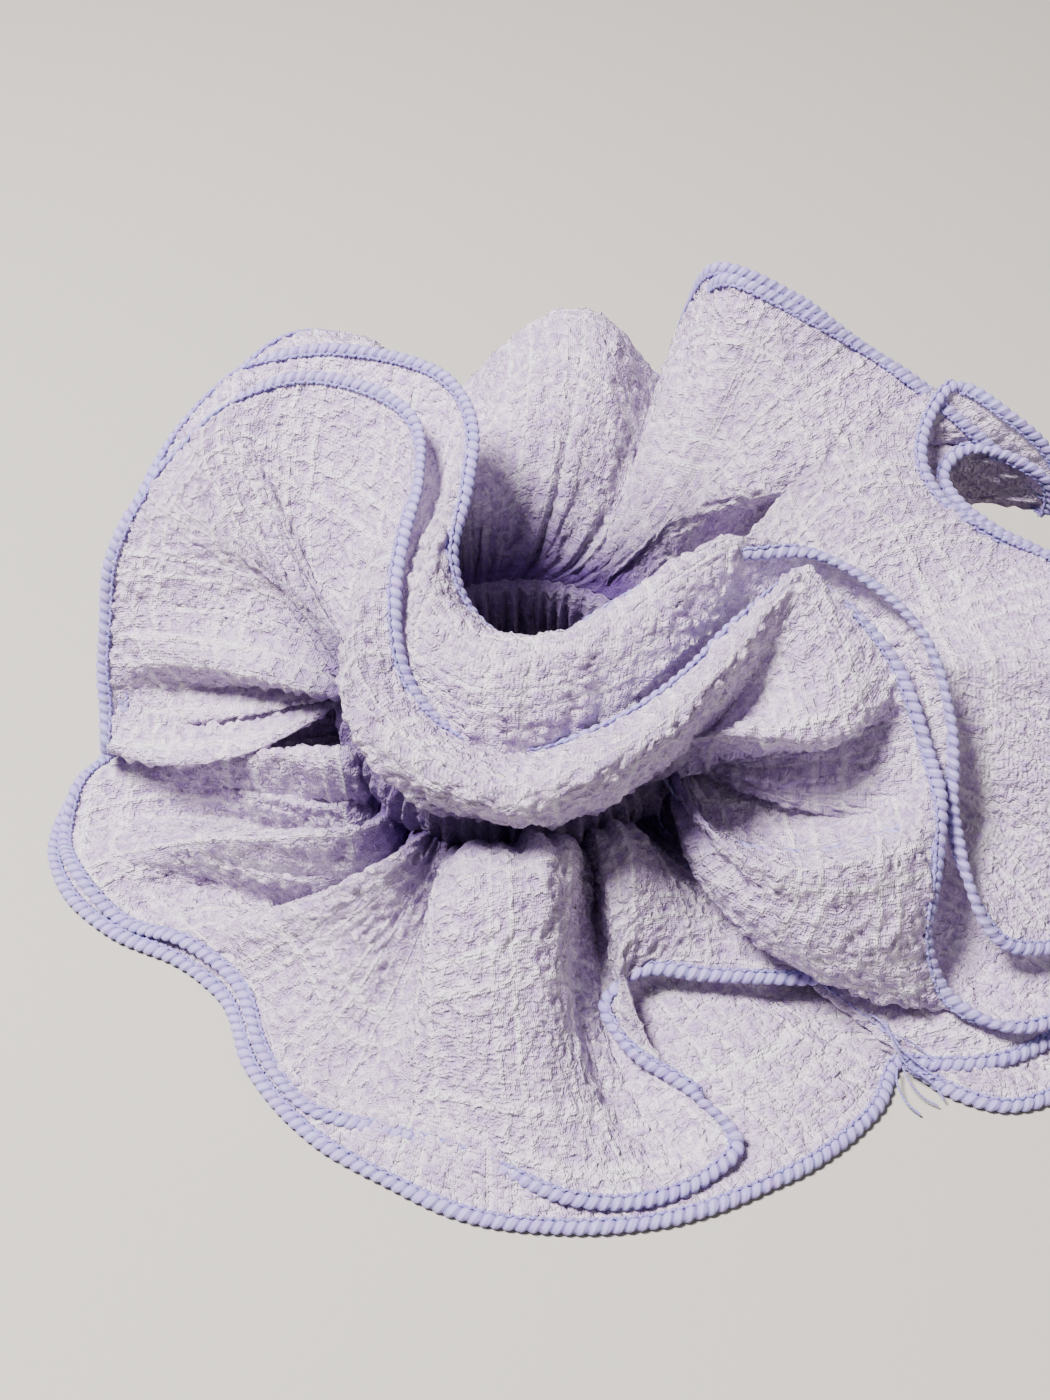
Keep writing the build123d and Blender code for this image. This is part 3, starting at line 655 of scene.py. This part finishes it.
def wrapped(name, line, side, face, width, thick, wrap, turns, material, sides=14, rise=0.16, shut=True):
    """Thread wrapped round an edge in slanting plump turns: an oval rope along a line."""
    reach = np.concatenate([[0], np.cumsum(np.linalg.norm(np.diff(line, axis=0), axis=1))])
    length = reach[-1] + (np.linalg.norm(line[0] - line[-1]) if shut else 0)
    count = max(round(length / wrap), 1)
    rng = np.random.default_rng(len(line))
    around = np.arange(sides) * 2 * pi / sides
    phase = 2 * pi * count * (reach / length)[:, None] + turns * around[None]
    sway = eased(rng.standard_normal((len(line), 1)), 8)
    sway /= np.abs(sway).max()
    plump = np.sqrt(0.5 + 0.5 * np.cos(phase + 1.1 * sway[::-1]))
    size = 1 - rise + rise * 1.6 * plump + 0.14 * sway
    ring = (side[:, None] * (np.cos(around) * width / 2)[None, :, None]
            + face[:, None] * (np.sin(around) * thick / 2)[None, :, None])
    points = line[:, None] + ring * size[:, :, None]
    flat = (np.append(reach, length), np.append(around, 2 * pi) * width / 4)
    # marks painted shade between the plump turns, darkest where a wrap dips
    return finish_mesh(name, points, flat, (shut, True), material, flip=True,
                       marks={"wrap_shade": (1 - plump) ** 2}, capped=not shut)


def hem(name, sheet):
    """A rolled overlock hem on a sheet's free edge: thread wrapped round it, and a chain of loops along its
    inner side on each face of the cloth."""
    rim = eased(sheet[:, -1], 1.6)
    out = flat_way(eased(sheet[:, -1] - sheet[:, -7], 3))
    spots = even(rim, HEM_STEP)
    line, out = at(rim, spots), flat_way(at(out, spots))
    way = turned(line)
    out = flat_way(out - way * np.sum(out * way, 1, keepdims=True))
    face = np.cross(way, out)
    middle = line - out * 0.3
    middle[:, 2] = np.maximum(middle[:, 2], HEM_THICKNESS / 2)
    parts = [wrapped(name, middle, out, face, HEM_WIDTH, HEM_THICKNESS, WRAP, 1, hem_thread, rise=0.24)]
    wander = 0.16 * np.sin(2 * pi * np.arange(len(line)) * HEM_STEP / WRAP * 2)
    for up in (1, -1):
        inner = middle - out * (HEM_WIDTH / 2 + 0.05 + wander[:, None]) + face * up * 0.42
        parts.append(wrapped(name, inner, out, face, CHAIN_WIDTH, CHAIN_THICKNESS, WRAP, 1, chain_thread,
                             sides=6, rise=0.55))
    return joined(name, *parts)


def channel_wall(name, radius, top, bottom, puff, seed, flip):
    """One strip's gathered cloth over the elastic, between the two rows of stitching."""
    columns, rows = 1100, 30
    angle = np.arange(columns) * 2 * pi / columns
    v = np.linspace(0, 1, rows)
    swell = np.sin(pi * v) ** 0.6
    tuck = tucks(angle, GATHERS, seed)[:, None] * (0.25 + 0.95 * swell[None])
    slack = tucks(angle, CREASES, seed + 1)[:, None] * 0.5 * swell[None]
    r = radius + puff * swell[None] + tuck + slack
    z = top + (bottom - top) * v[None] + 0.35 * tuck
    points = np.stack([r * np.cos(angle)[:, None], r * np.sin(angle)[:, None], z], -1)
    crinkle = 0.25 * puckers(points, PUCKER, seed + 2) * swell[None]
    points += flat_way(points * (1, 1, 0)) * crinkle[:, :, None]
    flat = (np.append(angle, 2 * pi) / (2 * pi) * (WALL_REPEATS * CHECK_REPEAT), v * WALL_CLOTH)
    # the whole channel wall gets the painted shade at three quarters strength
    return finish_mesh(name, points, flat, (True, False), voile, flip=flip,
                       marks={"channel_shade": np.full((1, rows), 0.75)})


def stitched_row(name, radius, height, seed, outward):
    """One thread of a row of stitching: it shows on the cloth for most of a stitch and dips in at each
    hole."""
    count = round(2 * pi * radius / STITCH)
    steps = count * 10
    angle = np.arange(steps) * 2 * pi / steps
    dip = 0.30 * np.cos(count * angle)
    r = radius + outward * (dip + 0.12) + 0.25 * tucks(angle, GATHERS, seed)
    line = np.stack([r * np.cos(angle), r * np.sin(angle), height + 0.1 * np.sin(7 * angle)], -1)
    way = turned(line)
    out = flat_way(line * (1, 1, 0))
    out = flat_way(out - way * np.sum(out * way, 1, keepdims=True))
    return wrapped(name, line, out, np.cross(way, out), SEWING_THREAD, SEWING_THREAD, 0.8, 1, row_thread,
                   sides=8, rise=0.1)


def placed(piece, stands_for):
    """What every piece gets: the nodes of model.glb that it stands for are hidden, and its placement is baked
    into its mesh."""
    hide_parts(*stands_for)
    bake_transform(piece)
    return piece


# ---- the four frills, the channel and the hems -------------------------------------------------------
OUTER_SEED, INNER_SEED = 11, 23  # each strip's own tucks, which run on from frill to channel to frill
inner_top, inner_bottom = UPPER_ROW + INNER_OFFSET, LOWER_ROW - INNER_OFFSET
frills = {
    "upper_outer": frill("upper_outer_frill", UPPER_OUTER_RIBS, RING_OUTSIDE, UPPER_ROW, False, OUTER_SEED),
    "upper_inner": frill("upper_inner_frill", UPPER_INNER_RIBS, RING_INSIDE, inner_top, True, INNER_SEED),
    "lower_outer": frill("lower_outer_frill", LOWER_OUTER_RIBS, RING_OUTSIDE, LOWER_ROW, True, OUTER_SEED),
    "lower_inner": frill("lower_inner_frill", LOWER_INNER_RIBS, RING_INSIDE, inner_bottom, False, INNER_SEED),
}
walls = {
    "outer": channel_wall("outer_channel_wall", RING_OUTSIDE, UPPER_ROW, LOWER_ROW, PUFF, OUTER_SEED, True),
    "inner": channel_wall("inner_channel_wall", RING_INSIDE, inner_top, inner_bottom, -PUFF, INNER_SEED,
                          False),
}

hems = {}
for key, layer in frills.items():
    hems[key] = hem(f"{key}_overlock", layer["sheet"])
    placed(hems[key], [f"{key}_hem"])

for strip, wall in walls.items():
    cloth = [f"{strip}_cloth_left", f"{strip}_cloth_right"]
    placed(frills[f"upper_{strip}"]["piece"], cloth)
    placed(frills[f"lower_{strip}"]["piece"], cloth)
    placed(wall, cloth)

# ---- the rows of stitching ---------------------------------------------------------------------------
for row, height in (("upper", UPPER_ROW - 0.2), ("lower", LOWER_ROW + 0.2)):
    needle = stitched_row(f"{row}_needle_stitches", RING_OUTSIDE + 0.35, height, OUTER_SEED, 1)
    placed(needle, [f"{row}_row_needle_thread"])
    bobbin = stitched_row(f"{row}_bobbin_stitches", RING_INSIDE - 0.35, height, INNER_SEED, -1)
    placed(bobbin, [f"{row}_row_bobbin_thread"])

# ---- the elastic, lapped at the left and sewn through ------------------------------------------------
lap = radians(12.3)
turn = np.linspace(pi - lap, 3 * pi + lap, 700)
over = np.clip((turn - (3 * pi - 3 * lap)) / (2 * lap), 0, 1)
radius = ELASTIC_RADIUS + LAP_STEP * over**2 * (3 - 2 * over)
across = np.linspace(-1, 1, 19)
rounded = np.sqrt(np.clip(1 - np.abs(across) ** 8, 0, 1))
ribbed = ELASTIC_HALF_THICKNESS * rounded * (1 + 0.10 * np.cos(across * 8 * pi))
front = np.stack([ribbed, across * ELASTIC_HALF_WIDTH], -1)
rear = np.stack([-ribbed, across * ELASTIC_HALF_WIDTH], -1)[::-1][1:-1]
section = np.concatenate([front, rear])
depth = radius[:, None] + section[None, :, 0]
rise = np.broadcast_to(ELASTIC_HEIGHT + section[None, :, 1], (len(turn), len(section)))
band = np.stack([depth * np.cos(turn)[:, None], depth * np.sin(turn)[:, None], rise], -1)
flat_band = (turn * ELASTIC_RADIUS, np.append(section[:, 1], section[0, 1]) + ELASTIC_HALF_WIDTH)
elastic = finish_mesh("elastic_in_channel", band, flat_band, (False, True), elastic_white, capped=True)
placed(elastic, ["elastic_band"])

zigzag = np.linspace(0, 6, 61)
spread = 4.0 * (zigzag / 3 - 1)
high = 2.4 * (1 - 2 * np.abs((zigzag + 1) % 2 - 1))
line = np.stack([LAP_STITCH_RADIUS * np.cos(pi + spread / LAP_STITCH_RADIUS),
                 LAP_STITCH_RADIUS * np.sin(pi + spread / LAP_STITCH_RADIUS), ELASTIC_HEIGHT + high], -1)
out = flat_way(line * (1, 1, 0))
way = flat_way(np.gradient(line, axis=0))
lap_stitches = wrapped("elastic_lap_zigzag", line, out, np.cross(way, out), SEWING_THREAD, SEWING_THREAD,
                       0.8, 1, row_thread, sides=8, rise=0.1, shut=False)
placed(lap_stitches, ["elastic_lap_stitches"])


# ---- the seams that close the two strips, between the layers -----------------------------------------
def join_seam(name, degrees, legs, wall_radius, puff, inward, nodes):
    """An overlocked seam from hem to hem, on the side of the cloth that faces the other layer. The two legs
    are the upper and the lower frill, each with the side of its cloth that the seam lies on."""
    places, faces = [], []
    for layer, seam_side in legs:
        nearest = np.argmin(np.abs((layer["angle"] - radians(degrees) + pi) % (2 * pi) - pi))
        near = [(nearest + n) % len(layer["sheet"]) for n in range(-6, 7)]
        leg = layer["sheet"][near].mean(0)[3:-5]
        square = flat_way(layer["face"][near].mean(0))[3:-5]
        places.append(leg + square * seam_side * SEAM_OFFSET)
        faces.append(square)
    v = np.linspace(0, 1, 12)[1:-1]
    r = wall_radius + puff * np.sin(pi * v) ** 0.6 + inward * SEAM_OFFSET
    z = UPPER_ROW + (LOWER_ROW - UPPER_ROW) * v
    turn = radians(degrees)
    wall = np.stack([r * cos(turn), r * sin(turn), z], -1)
    wall_face = np.tile((cos(turn), sin(turn), 0), (len(v), 1))
    line = np.concatenate([places[0][::-1], wall, places[1]])
    face = np.concatenate([faces[0][::-1], wall_face, faces[1]])
    reach = np.concatenate([[0], np.cumsum(np.linalg.norm(np.diff(line, axis=0), axis=1))])
    stand = np.linspace(0, reach[-1], int(reach[-1] / HEM_STEP))
    line = np.stack([np.interp(stand, reach, line[:, n]) for n in range(3)], -1)
    face = np.stack([np.interp(stand, reach, face[:, n]) for n in range(3)], -1)
    soft = np.hanning(31) / np.hanning(31).sum()
    padded = np.pad(line, ((15, 15), (0, 0)), "edge")
    line = np.stack([np.convolve(padded[:, n], soft, "valid") for n in range(3)], -1)
    way = flat_way(np.gradient(line, axis=0))
    side = flat_way(np.cross(way, face))
    seam = wrapped(name, line, side, np.cross(side, way), SEAM_WIDTH, SEAM_THICKNESS, WRAP, 2, hem_thread,
                   sides=12, shut=False)
    return placed(seam, nodes)


join_seam("outer_strip_join", -36, [(frills["upper_outer"], -1), (frills["lower_outer"], 1)],
          RING_OUTSIDE, PUFF, -1, ["outer_join_seam"])
join_seam("inner_strip_join", 172, [(frills["upper_inner"], 1), (frills["lower_inner"], -1)],
          RING_INSIDE, -PUFF, 1, ["inner_join_seam"])


# ---- loose ends of the hem threads, where the outer strip was joined ---------------------------------
def thread_end(knots, thick):
    """One strand that runs out of the hem, through these points."""
    knots = np.array(knots, float)
    t = np.linspace(0, len(knots) - 1, 12 * len(knots))
    k = np.clip(t.astype(int), 0, len(knots) - 2)
    f = (t - k)[:, None]
    before, start, end, after = (knots[np.clip(k + n, 0, len(knots) - 1)] for n in (-1, 0, 1, 2))
    line = 0.5 * (2 * start + (end - before) * f + (2 * before - 5 * start + 4 * end - after) * f**2
                  + (3 * start - before - 3 * end + after) * f**3)
    way = flat_way(np.gradient(line, axis=0))
    side = flat_way(np.cross(way, (0.1, 0.2, 1)))
    return wrapped("strand", line, side, np.cross(way, side), thick, thick, 0.7, 1, chain_thread,
                   sides=8, shut=False)


outer_tail = joined(
    "outer_hem_thread_end",
    thread_end([(59, -54.6, 6), (61, -57, 6.4), (63.5, -60.5, 4.8), (67, -63.4, 3.4), (70, -65.4, 2.2),
                (73.4, -66.4, 1.2)], 0.42),
    thread_end([(61.4, -56, 6), (62.2, -60, 6), (64.2, -63.4, 4.2), (68.4, -66, 2.4), (70.2, -68.6, 1.4)],
               0.34),
    thread_end([(60.5, -57.5, 5.4), (63.6, -59.4, 6.2), (66.4, -60.2, 4.6), (69.4, -62.6, 3.2)], 0.3))
placed(outer_tail, ["lower_outer_hem_tail"])
inner_tail = joined(
    "inner_hem_thread_end",
    thread_end([(63, -63, 2.4), (62.6, -66.2, 2.6), (63.8, -69, 1.6), (66, -71, 0.8)], 0.36),
    thread_end([(64, -62.6, 2.2), (64.6, -66, 2.8), (66.8, -68.2, 1.6), (69.2, -69.4, 0.9)], 0.3))
placed(inner_tail, ["lower_inner_hem_tail"])

# ---- floor, light and camera -------------------------------------------------------------------------
bpy.ops.object.select_all(action="DESELECT")
bpy.ops.mesh.primitive_plane_add(size=6.0)
floor = bpy.context.object
floor.name = "pale_table"
floor.data.materials.append(matt_paint())


def lamp(name, place, target, size, power, tint):
    """A soft box aimed at a point."""
    light = bpy.data.lights.new(name, "AREA")
    light.shape = "DISK"
    light.size = size
    light.energy = power
    light.color = colour(tint)[:3]
    holder = bpy.data.objects.new(name, light)
    bpy.context.scene.collection.objects.link(holder)
    holder.location = place
    holder.rotation_euler = (Vector(target) - Vector(place)).to_track_quat("-Z", "Y").to_euler()


lamp("window_light", (-0.36, -0.06, 0.82), (0, 0, 0.03), 0.26, 33.0, "#FFF8F6")
lamp("room_fill", (0.75, -0.45, 0.55), (0, 0, 0.03), 0.9, 2.0, "#FFF4EC")
lamp("back_glow", (0.1, 0.8, 0.5), (0, 0, 0.05), 0.8, 0.6, "#F2F0FF")

world = bpy.data.worlds.new("pale_room")
bpy.context.scene.world = world
world.use_nodes = True
world.node_tree.nodes["Background"].inputs[0].default_value = colour("#EEF0F6")
world.node_tree.nodes["Background"].inputs[1].default_value = 0.13

height_angle = radians(46.0)
aim = Vector((0.007, -0.005, 0.022))
back = Vector((0, -cos(height_angle), sin(height_angle)))
lens = bpy.data.cameras.new("camera")
lens.sensor_width = 36.0
lens.lens = 48.57
lens.shift_x, lens.shift_y = -0.025, 0.025
camera = bpy.data.objects.new("camera", lens)
bpy.context.scene.collection.objects.link(camera)
camera.location = aim + back * 0.34
camera.rotation_euler = (-back).to_track_quat("-Z", "Y").to_euler()
bpy.context.scene.camera = camera
